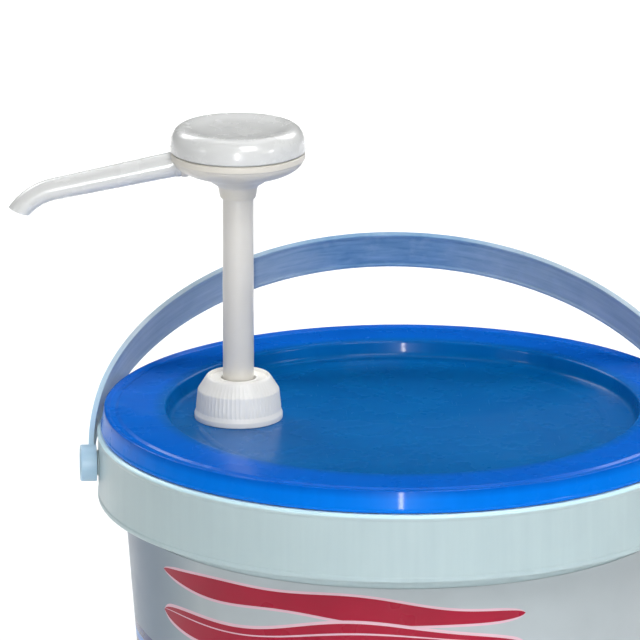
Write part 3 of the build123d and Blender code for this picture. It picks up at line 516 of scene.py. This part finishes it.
# The head body's copy of the pump white is warmer: painted warm shade for its underside.
BODY_WHITE_SHADED = moulded("head body white painted warm shade", (0.670, 0.640, 0.570), 0.34, 0.04, 0.12, 0.15)
STEM_WHITE = moulded("stem white gloss", (0.670, 0.650, 0.605), 0.32, 0.03, 0.10, 0.12, 0.15)
NUT_WHITE = moulded("nut white satin", (0.830, 0.820, 0.780), 0.40, 0.045, 0.18, 0.15)
NATURAL = moulded("natural plastic", (0.640, 0.640, 0.590), 0.38, 0.06, 0.15, 0.35)
SEAL = rubber("seal rubber", (0.022, 0.022, 0.025))
FOAM = foam("closed cell foam", (0.74, 0.74, 0.70))
SPRING = steel("spring wire", (0.60, 0.60, 0.61), 0.28, 0.25)
BALL = steel("polished ball", (0.72, 0.72, 0.73), 0.10, 0.05)
# The print white's edge colour is painted shade at the label's sides.
PRINT_WHITE = printed("print white", (0.430, 0.485, 0.510), edge=(0.080, 0.150, 0.240, 1))
PRINT_RED = printed("print crimson", (0.360, 0.004, 0.030), 0.28, 0.06)
PRINT_HALO = printed("print pale rose", (0.720, 0.480, 0.560))
PRINT_BLUE = printed("print deep blue", (0.003, 0.028, 0.150), 0.26, 0.03)
PRINT_SKY = printed("print sky blue", (0.030, 0.190, 0.560))

# ================================================================ CAD nodes that keep their own mesh
SLOT_PAINT = {
    "pump_white": CAP_WHITE,
    "nut_white": NUT_WHITE,
    "natural_plastic": NATURAL,
    "seal_rubber": SEAL,
    "foam_white": FOAM,
    "spring_steel": SPRING,
    "ball_steel": BALL,
    "pail_white": PAIL_WHITE,
    "label_print": PRINT_WHITE,
    "bail_blue": BAIL_BLUE,
    "lid_blue": LID_BLUE,
}
NODE_PAINT = {"head_body": BODY_WHITE_SHADED}
for entry in frame["record"]["subparts"]:
    node = frame["nodes"][entry["node"]]
    for material_slot in node.material_slots:
        material_slot.material = NODE_PAINT.get(entry["node"], SLOT_PAINT[entry["material_slot"]])

# ================================================================ pail
FOOT_R = 118.7
WALL_TAPER = 0.0769


def wall(height):
    """Outer radius of the pail's tapered wall."""
    return FOOT_R + WALL_TAPER * height


COLLAR_R = PAIL_HIGH.y
RIM_Z = PAIL_HIGH.z
COLLAR_LOW = COLLAR_Z - 33.0
SKIN = 1.9
GUSSETS = 28

pail_outline = arc_corners(
    [
        (0, 3.5, 0),
        (104.0, 3.5, 0.6),
        (104.6, 2.9, 0.5),
        (106.4, 2.9, 0.5),
        (107.0, 3.5, 0.6),
        (112.7, 3.5, 1.0),
        (113.7, 0, 1.2),
        (117.7, 0, 1.4),
        (wall(1), 1, 1.2),
        (wall(9.0), 9.0, 0.4),
        (wall(9.4) - 0.35, 9.4, 0.3),
        (wall(22.0) - 0.35, 22.0, 0.3),
        (wall(22.4), 22.4, 0.3),
        (wall(COLLAR_Z - SKIN), COLLAR_Z - SKIN, 1.6),
        (COLLAR_R - 1.8, COLLAR_Z - SKIN, 1.2),
        (COLLAR_R - 1.8, COLLAR_LOW, 0.7),
        (COLLAR_R, COLLAR_LOW, 0.8),
        (COLLAR_R, COLLAR_LOW + 2.2, 0.3),
        (COLLAR_R - 0.35, COLLAR_LOW + 2.8, 0.4),
        (COLLAR_R - 0.35, COLLAR_Z - 3.2, 0.4),
        (COLLAR_R, COLLAR_Z - 2.4, 0.4),
        (COLLAR_R, COLLAR_Z - 0.9, 0.3),
        (COLLAR_R - 1.0, COLLAR_Z, 0.3),
        (wall(COLLAR_Z), COLLAR_Z, 0.9),
        (wall(RIM_Z - 3.4), RIM_Z - 3.4, 0.5),
        (wall(RIM_Z) + 1.1, RIM_Z - 1.8, 0.6),
        (wall(RIM_Z) + 0.5, RIM_Z, 0.5),
        (wall(RIM_Z) - 1.5, RIM_Z, 0.5),
        (wall(RIM_Z - 1) - SKIN, RIM_Z - 1, 0.5),
        (wall(10.7) - SKIN, 10.7, 4.0),
        (wall(3.5) - SKIN - 5, 5.7, 2.0),
        (0, 5.7, 0),
    ],
    4,
)


def gusset(angle):
    """One thin web between the wall and the collar."""
    top = COLLAR_Z - SKIN / 2
    low = COLLAR_Z - SKIN - 21.0
    outline = [
        (wall(low) - 0.9, low),
        (COLLAR_R - 1.1, low + 9.6),
        (COLLAR_R - 1.1, top),
        (wall(top) - 0.9, top),
    ]
    sides = []
    for offset in (-0.8, 0.8):
        turn = Matrix.Rotation(angle, 3, "Z")
        sides.append([turn @ Vector((r, offset * (1.15 if z < top - 1 else 1.0), z)) for r, z in outline])
    return loop_sweep(sides)


def stud(sign):
    """A pivot stud with the head that the bail's hub snaps over."""
    outline = arc_corners(
        [
            (0, COLLAR_R - 1.4, 0),
            (6.2, COLLAR_R - 1.4, 0),
            (6.2, COLLAR_R + 0.2, 0.2),
            (4.5, COLLAR_R + 0.45, 0.4),
            (4.5, 152.3, 0.1),
            (5.3, 152.5, 0.3),
            (4.9, PAIL_HIGH.x, 0.4),
            (0, PAIL_HIGH.x, 0),
        ],
        3,
    )
    return turned_to_x(lathe(outline, 48), sign, PIVOT_Z)


pail_shell = build(
    "pail_shell",
    *joined(lathe(pail_outline, 288), stud(1), stud(-1)),
    "pail_and_pump",
    "pail_white",
    PAIL_WHITE,
)
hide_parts("pail")
gussets = [gusset(math.tau / GUSSETS * (index + 0.5)) for index in range(GUSSETS)]
build("pail_gussets", *joined(*gussets), "pail_and_pump", "pail_white", PAIL_WHITE)

# ================================================================ printed label
LABEL_COLUMNS = 720
LABEL_START = 90.0
LABEL_TURN = 356.0
FILM = 0.25
PRINTS = [PRINT_WHITE, PRINT_RED, PRINT_HALO, PRINT_BLUE, PRINT_SKY]
WHITE, RED, HALO, BLUE, SKY = range(len(PRINTS))


def hump(position):
    """0 outside -1 to 1, and a smooth rise to 1 between."""
    return max(0.0, 1 - position * position) ** 0.5


def print_bands(angle):
    """Heights where the print changes colour at an angle (degrees), each with the colour above it."""
    angle = (angle + 180) % 360 - 180
    nearest = min((PRINT_CENTRE, SECOND_CENTRE), key=lambda centre: abs(angle - centre))
    across = (angle - nearest) / PRINT_HALF
    low, high = LABEL_LOW.z, LABEL_HIGH.z
    field = 140.2 - 7.2 * math.cos(math.radians(3 * (angle - PRINT_CENTRE)))
    lower_mid = 168 + 3.5 * math.sin(across * 3.4 + 0.4)
    lower_half = 8.6 * hump(across) * (1 + 0.18 * math.sin(across * 6 + 1))
    upper_mid = 187.0 - 3.0 * across + 1.6 * math.cos(across * 4)
    upper_half = 5.6 * hump(across * 1.02) * (1 + 0.2 * math.sin(across * 7))
    lower_rim = min(1.6, lower_half * 0.5)
    upper_rim = min(1.3, upper_half * 0.5)
    stops = [
        (low, BLUE),
        (low + 9, SKY),
        (low + 11, BLUE),
        (field - 9, SKY),
        (field - 5, BLUE),
        (field, WHITE),
        (lower_mid - lower_half - lower_rim, HALO),
        (lower_mid - lower_half, RED),
        (lower_mid + lower_half * 0.42, HALO),
        (lower_mid + lower_half * 0.52, RED),
        (lower_mid + lower_half, HALO),
        (lower_mid + lower_half + lower_rim, WHITE),
        (upper_mid - upper_half - upper_rim, HALO),
        (upper_mid - upper_half, RED),
        (upper_mid + upper_half, HALO),
        (upper_mid + upper_half + upper_rim, WHITE),
        (high, WHITE),
    ]
    floor = low
    ordered = []
    for height, colour in stops:
        floor = min(max(floor, height), high)
        ordered.append((floor, colour))
    return ordered


def label_mesh():
    verts, faces, colours = [], [], []
    columns = []
    for column in range(LABEL_COLUMNS + 1):
        angle = LABEL_START + LABEL_TURN * column / LABEL_COLUMNS
        bands = print_bands(angle - 270)
        direction = Vector((math.cos(math.radians(angle)), math.sin(math.radians(angle)), 0))
        outer, inner = [], []
        for height, _ in bands:
            radius = wall(height) + 0.1
            for part, depth in ((outer, FILM), (inner, 0.0)):
                part.append(len(verts))
                point = direction * (radius + depth)
                verts.append((point.x, point.y, height))
        columns.append((outer, inner, [colour for _, colour in bands]))
    for column in range(LABEL_COLUMNS):
        (outer_a, inner_a, colour), (outer_b, inner_b, _) = columns[column], columns[column + 1]
        for k in range(len(outer_a) - 1):
            faces.append([outer_a[k], outer_b[k], outer_b[k + 1], outer_a[k + 1]])
            faces.append([inner_a[k + 1], inner_b[k + 1], inner_b[k], inner_a[k]])
            colours += [colour[k], WHITE]
        for k, flip in ((0, False), (-1, True)):
            rim = [inner_a[k], inner_b[k], outer_b[k], outer_a[k]]
            faces.append(rim[::-1] if flip else rim)
            colours.append(colour[k])
    for end in (0, LABEL_COLUMNS):
        outer, inner, colour = columns[end]
        for k in range(len(outer) - 1):
            faces.append([outer[k], outer[k + 1], inner[k + 1], inner[k]])
            colours.append(colour[k])
    return verts, faces, colours


label_verts, label_faces, label_colours = label_mesh()
label = build(
    "printed_label",
    label_verts,
    label_faces,
    "pail_and_pump",
    "label_print",
    PRINTS,
    face_paint=label_colours,
)
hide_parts("pail_label")

# ================================================================ lid
lid_outline = arc_corners(
    [
        (0, PANEL + 0.3, 0),
        (4.6, PANEL + 0.3, 0.6),
        (6.6, PANEL, 1.2),
        (96.0, PANEL, 0.5),
        (97.2, PANEL + 0.2, 0.6),
        (99.2, PANEL + 0.2, 0.6),
        (100.5, PANEL, 0.5),
        (113.3, PANEL, 3.2),
        (114.5, LID_TOP, 1.9),
        (137.5, LID_TOP - 0.25, 0.8),
        (139.0, LID_TOP - 1.0, 0.7),
        (141.6, LID_TOP - 1.0, 0.7),
        (143.0, LID_TOP, 0.7),
        (144.4, LID_TOP, 1.6),
        (LID_HIGH.y - 0.3, LID_LOW.z + 5.6, 0.5),
        (LID_HIGH.y, LID_LOW.z + 5.0, 0.3),
        (LID_HIGH.y, LID_LOW.z + 3.5, 0.6),
        (LID_HIGH.y - 1.4, LID_LOW.z + 3.5, 0.4),
        (LID_HIGH.y - 2.6, LID_TOP - 3.4, 0.4),
        (141.1, LID_TOP - 2.8, 0.3),
        (141.1, LID_TOP - 8.5, 0.4),
        (139.6, LID_TOP - 8.5, 0.4),
        (139.6, LID_TOP - 1.8, 0.2),
        (134.9, LID_TOP - 1.8, 0.2),
        (134.3, LID_LOW.z, 0.5),
        (133.1, LID_LOW.z, 0.5),
        (133.1, LID_TOP - 1.8, 0.4),
        (116.3, LID_TOP - 1.8, 0.8),
        (115.2, PANEL - 1.8, 2.0),
        (0, PANEL - 1.8, 0),
    ],
    5,
)


def cut(target, cutter_shape):
    """Takes a shape out of a piece, and leaves clean normals behind."""
    mesh = bpy.data.meshes.new("cutter")
    mesh.from_pydata([Vector(v) * MM for v in cutter_shape[0]], [], cutter_shape[1])
    work = bmesh.new()
    work.from_mesh(mesh)
    bmesh.ops.remove_doubles(work, verts=work.verts, dist=SAME_PLACE)
    bmesh.ops.recalc_face_normals(work, faces=work.faces)
    work.to_mesh(mesh)
    work.free()
    cutter = bpy.data.objects.new("cutter", mesh)
    bpy.context.scene.collection.objects.link(cutter)
    boolean = target.modifiers.new("cut", "BOOLEAN")
    boolean.operation = "DIFFERENCE"
    boolean.object = cutter
    boolean.solver = "EXACT"
    bpy.context.view_layer.update()
    depsgraph = bpy.context.evaluated_depsgraph_get()
    result = bpy.data.meshes.new_from_object(target.evaluated_get(depsgraph))
    target.modifiers.clear()
    target.data = result
    bpy.data.objects.remove(cutter)
    work = bmesh.new()
    work.from_mesh(result)
    shade_smooth(work, SHARP)
    work.to_mesh(result)
    work.free()


lid_piece = build("lid_moulding", *lathe(lid_outline, 288), "pail_and_pump", "lid_blue", LID_BLUE)
hole = [(0, PANEL - 8), (18.9, PANEL - 8), (18.9, PANEL + 8), (0, PANEL + 8)]
cut(lid_piece, lathe(hole, 96, (PUMP_X, PUMP_Y)))
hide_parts("lid")

# ================================================================ bail
BAIL_Y = Vector((0, math.cos(BAIL_ANGLE), math.sin(BAIL_ANGLE)))
BAIL_NORMAL = Vector((0, -math.sin(BAIL_ANGLE), math.cos(BAIL_ANGLE)))
BAIL_CENTRE = Vector((0, 0, PIVOT_Z))

# One closed outline of the strap: radius from the pivot's line, and share of its half width.
strap_section = arc_corners(
    [
        (149.5, -1.0, 0.35),
        (152.1, -1.0, 0.6),
        (152.1, -0.86, 0.35),
        (151.75, -0.83, 0.2),
        (151.75, -0.16, 0.2),
        (152.0, -0.12, 0.15),
        (152.0, 0.12, 0.15),
        (151.75, 0.16, 0.2),
        (151.75, 0.83, 0.2),
        (152.1, 0.86, 0.35),
        (152.1, 1.0, 0.6),
        (149.5, 1.0, 0.35),
        (149.5, 0.86, 0.35),
        (149.85, 0.83, 0.2),
        (149.85, -0.83, 0.2),
        (149.5, -0.86, 0.35),
    ],
    2,
)


STRAP_MIDDLE = 150.8
STRAP_TURNS = 240
HUB_HALF = 7.25
TAPER_LENGTH = 46.0


def strap():
    """The bail's half ring, narrowing to its two hubs."""
    sections = []
    for index in range(STRAP_TURNS + 1):
        angle = math.pi * index / STRAP_TURNS
        out = Vector((1, 0, 0)) * math.cos(angle) + BAIL_Y * math.sin(angle)
        widening = min(1.0, math.sin(angle) * STRAP_MIDDLE / TAPER_LENGTH)
        half = HUB_HALF + (BAIL_HALF - HUB_HALF) * widening
        sections.append([BAIL_CENTRE + out * r + BAIL_NORMAL * (w * half) for r, w in strap_section])
    return loop_sweep(sections)


def hub(sign):
    """A round boss with a dished face and a small moulded centre mark."""
    outline = arc_corners(
        [
            (4.6, 148.2, 0.3),
            (8.9, 148.2, 0.3),
            (8.9, BAIL_HIGH.x, 2.6),
            (6.6, BAIL_HIGH.x, 0.5),
            (6.0, BAIL_HIGH.x - 0.7, 0.5),
            (1.8, BAIL_HIGH.x - 0.7, 0.3),
            (1.3, BAIL_HIGH.x - 0.2, 0.3),
            (0, BAIL_HIGH.x - 0.2, 0),
            (0, 154.5, 0),
            (5.5, 154.5, 0.2),
            (5.5, 152.1, 0.2),
            (4.6, 152.0, 0.2),
        ],
        4,
    )
    return turned_to_x(lathe(outline, 72), sign, PIVOT_Z)


bail_piece = build("bail_strap", *joined(strap(), hub(1), hub(-1)), "bail", "bail_blue", BAIL_BLUE, 40)
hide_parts("bail_handle")

# ================================================================ collar nut
NUT_R = (NUT_HIGH.x - NUT_LOW.x) / 2
NUT_TOP = NUT_HIGH.z
nut_corners = [
    (19.3, PANEL, 0.3),
    (NUT_R, PANEL, 0.6),
    (NUT_R, PANEL + 2.6, 0.9),
    (NUT_R - 0.8, PANEL + 4.8, 1.2),
    (NUT_R - 1.8, PANEL + 14.4, 2.2),
    (NUT_R - 5.6, NUT_TOP - 0.9, 1.6),
    (NUT_R - 6.5, NUT_TOP, 0.6),
    (NUT_R - 7.1, NUT_TOP, 0.4),
    (NUT_R - 7.8, NUT_TOP - 1.5, 0.5),
    (9.3, NUT_TOP - 1.6, 0.4),
    (8.8, NUT_TOP - 1.1, 0.3),
    (8.3, NUT_TOP - 1.6, 0.3),
    (8.3, NUT_TOP - 3.5, 0.2),
    (17.2, NUT_TOP - 3.5, 0.4),
    (18.0, NUT_TOP - 6.5, 0.5),
    (18.8, NUT_TOP - 8.0, 0.5),
    (18.8, PANEL + 0.5, 0.3),
]
nut_outline = arc_corners(nut_corners, 4)
nut_fine = []
for index, (radius, height) in enumerate(nut_outline):
    nut_fine.append((radius, height))
    after = nut_outline[(index + 1) % len(nut_outline)]
    if radius > NUT_R - 1.9 and after[1] - height > 4:
        for step in range(1, 5):
            t = step / 5
            nut_fine.append((radius + (after[0] - radius) * t, height + (after[1] - height) * t))
RIBS = 60


def nut_ribs(angle, index):
    """Rounded grip ribs on the nut's wall, fading out at the bead and the shoulder."""
    radius, height = nut_fine[index]
    if radius < NUT_R - 2.4 or height < PANEL + 4.6 or height > NUT_TOP - 5.4:
        return 0.0
    fade = min(1.0, (height - PANEL - 4.6) / 0.8, (NUT_TOP - 5.4 - height) / 1.6)
    wave = math.cos(angle * RIBS)
    return 0.16 * max(0.0, fade) * max(0.0, wave) ** 0.7


nut_piece = build(
    "ribbed_nut",
    *lathe(nut_fine, RIBS * 10, (PUMP_X, PUMP_Y), nut_ribs),
    "pail_and_pump",
    "nut_white",
    NUT_WHITE,
    48,
)
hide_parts("collar_nut")

# ================================================================ stem
STEM_R = 7.5
STEM_FOOT_R = 6.2
STEM_BORE_R = 5.0
stem_outline = arc_corners(
    [
        (STEM_BORE_R, STEM_LOW.z, 0),
        (STEM_FOOT_R, STEM_LOW.z, 0.3),
        (STEM_FOOT_R, PANEL + 5.0, 0.2),
        (STEM_R, PANEL + 5.3, 0.3),
        (STEM_R, STEM_HIGH.z, 0.6),
        (STEM_BORE_R, STEM_HIGH.z, 0.3),
        (STEM_BORE_R, PANEL + 6.0, 0),
        (STEM_BORE_R, PANEL - 4.0, 0),
    ],
    3,
)
stem_piece = build(
    "stem_tube", *lathe(stem_outline, 96, (PUMP_X, PUMP_Y)), "pump_head", "pump_white", STEM_WHITE
)
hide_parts("piston_stem")

# ================================================================ head cap
# The cap's curves are (radius, height above the seam) points, from the middle of the dish outwards.
CREST = (26.2, CREST_HEIGHT)
dish_points = [(0, 9.8), (6.0, 9.82), (12.0, 9.9), (16.0, 10.1), (19.5, 10.5), (22.3, 11.05), (24.4, 11.45)]
shoulder_points = [(28.1, 11.2), (29.8, 10.1), (31.1, 8.4), (32.1, 6.2), (32.65, 3.4), (32.8, 0.7)]
inside_points = [(29.2, 3.0), (28.6, 7.0), (26.2, 9.4), (22.6, 9.0), (18.0, 7.8), (12.0, 7.4), (0, 7.3)]
cap_dish = curve_through([*dish_points, CREST], 6)
cap_shoulder = curve_through([CREST, *shoulder_points], 7)
cap_inside = curve_through(inside_points, 6)
cap_outline = [
    *cap_dish[:-1],
    *cap_shoulder,
    (32.65, 0.2),
    (32.3, 0.0),
    (30.7, 0.0),
    (30.7, -0.6),
    (30.65, -3.2),
    (30.4, -3.4),
    (29.4, -3.4),
    (29.2, -3.2),
    *cap_inside,
]
cap_piece = build(
    "head_cap_shell",
    *lathe([(r, SEAM + z) for r, z in cap_outline], 144, (PUMP_X, PUMP_Y)),
    "pump_head",
    "pump_white",
    CAP_WHITE,
)


SPOUT_SIDES = 64
SPOUT_ROOT = Vector((PUMP_X, PUMP_Y, SEAM - 6.6))


def along_spout(outline):
    """Revolves (radius, distance) pairs about the level line from the spout's root towards -X."""
    line = Vector((-1, 0, 0))
    side = Vector((0, 1, 0))
    up = line.cross(side)
    verts, faces = lathe(outline, SPOUT_SIDES)
    return [tuple(SPOUT_ROOT + side * x + up * y + line * z) for x, y, z in verts], faces


cut(cap_piece, along_spout([(0, 26.4), (6.6, 26.4), (6.6, 50), (0, 50)]))
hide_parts("head_cap")

# ================================================================ spout
DROOP = math.radians(11.3)
ROOT_REACH = 30.0
STRAIGHT = 59.6
BEND_R = 28.0
BEND = math.radians(48.8 * 0.86)
END_SKEW = math.radians(15)


def spout_station(distance):
    """(place, direction) at a distance along the spout's centre line, from its root."""
    down = DROOP
    place = Vector((-ROOT_REACH, 0, 0))
    ahead = Vector((-math.cos(down), 0, -math.sin(down)))
    if distance <= STRAIGHT:
        return place + ahead * distance, ahead
    place = place + ahead * STRAIGHT
    turn = min((distance - STRAIGHT) / BEND_R, BEND)
    normal = Vector((math.sin(down), 0, -math.cos(down)))
    place = place + ahead * (BEND_R * math.sin(turn)) + normal * (BEND_R * (1 - math.cos(turn)))
    return place, ahead * math.cos(turn) + normal * math.sin(turn)


def spout_ring(distance, radius, skew=0.0):
    place, ahead = spout_station(distance)
    side = Vector((0, 1, 0))
    up = ahead.cross(side)
    if up.z < 0:
        up = -up
    ring = []
    for step in range(SPOUT_SIDES):
        angle = math.tau * step / SPOUT_SIDES
        point = place + side * (radius * math.cos(angle)) + up * (radius * math.sin(angle))
        point = point + ahead * (math.tan(skew) * radius * math.sin(angle))
        ring.append(SPOUT_ROOT + point)
    return ring


# The tube's rings run out along its skin, over its lip and back inside its bore.
SPOUT_LENGTH = STRAIGHT + BEND_R * BEND - 0.1
BORE_R = 3.9
BORE_LENGTH = 30
rings = []
for reach, radius in ((-2.0, 5.4), (-0.6, 5.7), (0.2, 6.05), (0.9, 6.1)):
    rings.append(spout_ring(reach, radius))
for step in range(1, 25):
    t = step / 24
    rings.append(spout_ring(0.9 + (STRAIGHT - 0.9) * t, 6.1 - 0.8 * t))
for step in range(1, 23):
    t = step / 22
    rings.append(spout_ring(STRAIGHT + (SPOUT_LENGTH - STRAIGHT) * t, 5.3 - 0.15 * t, END_SKEW * t**2))
rings.append(spout_ring(SPOUT_LENGTH + 0.1, 4.95, END_SKEW))
rings.append(spout_ring(SPOUT_LENGTH + 0.1, 4.05, END_SKEW))
rings.append(spout_ring(SPOUT_LENGTH - 0.2, BORE_R, END_SKEW))
for step in range(1, 16):
    t = step / 15
    inward = SPOUT_LENGTH - 0.2 - BORE_LENGTH * t
    rings.append(spout_ring(inward, BORE_R - 0.3 * t, END_SKEW * (1 - t) ** 2))
tube = loop_sweep(rings)
collar = along_spout(
    arc_corners(
        [
            (3.4, 18.6, 0),
            (4.6, 18.6, 0.3),
            (4.6, 27.4, 0),
            (6.3, 27.4, 0.4),
            (6.3, 29.8, 0.7),
            (5.6, 30.6, 0.3),
            (3.4, 30.6, 0),
        ],
        4,
    )
)
spout_piece = build("bent_spout", *joined(tube, collar), "pump_head", "pump_white", CAP_WHITE, 40)
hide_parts("spout")

# ================================================================ stage, lights and camera
FLOOR = 7
floor_corners = [(-FLOOR, -FLOOR, 0), (FLOOR, -FLOOR, 0), (FLOOR, FLOOR, 0), (-FLOOR, FLOOR, 0)]
floor_mesh = bpy.data.meshes.new("floor")
floor_mesh.from_pydata(floor_corners, [], [[0, 1, 2, 3]])
floor_object = bpy.data.objects.new("floor", floor_mesh)
bpy.context.scene.collection.objects.link(floor_object)
floor_paint = Painter("floor paper")
paper = floor_paint.blend(floor_paint.noise(3.0, 4.0), (0.94, 0.94, 0.94, 1), (0.97, 0.97, 0.97, 1))
floor_mesh.materials.append(
    floor_paint.finish(
        Base_Color=paper,
        Roughness=0.75,
        Normal=floor_paint.bump(floor_paint.noise(900.0, 3.0), 0.05, 0.0002),
    )
)

# The world is nearly black, and a little less so overhead: the lamps give almost all of the light.
world = bpy.data.worlds.new("studio")
world.use_nodes = True
sky = world.node_tree
sky_place = sky.nodes.new("ShaderNodeTexCoord").outputs["Generated"]
sky_split = sky.nodes.new("ShaderNodeSeparateXYZ")
sky_ramp = sky.nodes.new("ShaderNodeMapRange")
for name, value in (("From Min", 0.22), ("From Max", 0.62), ("To Min", 0.20), ("To Max", 0.74)):
    sky_ramp.inputs[name].default_value = value
sky.links.new(sky_place, sky_split.inputs[0])
sky.links.new(sky_split.outputs[2], sky_ramp.inputs["Value"])
sky.links.new(sky_ramp.outputs["Result"], sky.nodes["Background"].inputs["Strength"])
bpy.context.scene.world = world
bpy.context.scene.view_settings.view_transform = "Standard"


def lamp(name, place, aim, size, watts):
    """A white rectangular lamp, in metres and watts, that faces its aim."""
    light = bpy.data.lights.new(name, "AREA")
    light.shape = "RECTANGLE"
    light.size, light.size_y = size
    light.energy = watts
    lamp_object = bpy.data.objects.new(name, light)
    lamp_object.location = place
    lamp_object.rotation_euler = (Vector(aim) - Vector(place)).to_track_quat("-Z", "Y").to_euler()
    bpy.context.scene.collection.objects.link(lamp_object)


lamp("key", (0.20, -0.75, 1.15), (0, -0.05, 0.25), (0.5, 0.5), 7.5)
lamp("fill", (1.7, -1.1, 1.0), (0, 0, 0.25), (0.4, 0.4), 6)
lamp("side", (-2.3, -1.0, 1.1), (0, 0, 0.3), (0.35, 0.35), 5)
lamp("overhead", (0.1, 0.3, 2.2), (0, 0, 0.2), (1.6, 1.2), 10)
lamp("strip", (-0.36, -5.0, 1.15), (0, 0, 0.25), (0.14, 2.0), 95)
lamp("backdrop left", (-1.8, 2.6, 2.4), (-1.2, 3.2, 0), (2.4, 2.0), 110)
lamp("backdrop right", (1.8, 2.6, 2.4), (1.2, 3.2, 0), (2.4, 2.0), 110)

# The camera stands in front, a little to the left, and looks past the lid's middle by these metres.
LID_MIDDLE = Vector((0, 0, LID_TOP * MM))
AZIMUTH = math.radians(3.8)
ELEVATION = math.radians(16.25)
DISTANCE = 4.0
LOOK_LEFT = 0.0400532
LOOK_ABOVE = 0.0409239
SENSOR_MM = 36.0
LENS_MM = 465.13125
back = Vector(
    (
        -math.sin(AZIMUTH) * math.cos(ELEVATION),
        -math.cos(AZIMUTH) * math.cos(ELEVATION),
        math.sin(ELEVATION),
    )
)
right = Vector((math.cos(AZIMUTH), -math.sin(AZIMUTH), 0))
above = back.cross(right)
eye = LID_MIDDLE + back * DISTANCE
target = LID_MIDDLE - right * LOOK_LEFT + above * LOOK_ABOVE
camera_data = bpy.data.cameras.new("camera")
camera_data.sensor_width = SENSOR_MM
camera_data.lens = LENS_MM
camera_data.clip_start = 0.05
camera_data.clip_end = 60
camera = bpy.data.objects.new("camera", camera_data)
camera.location = eye
camera.rotation_euler = (target - eye).to_track_quat("-Z", "Y").to_euler()
bpy.context.scene.collection.objects.link(camera)
bpy.context.scene.camera = camera
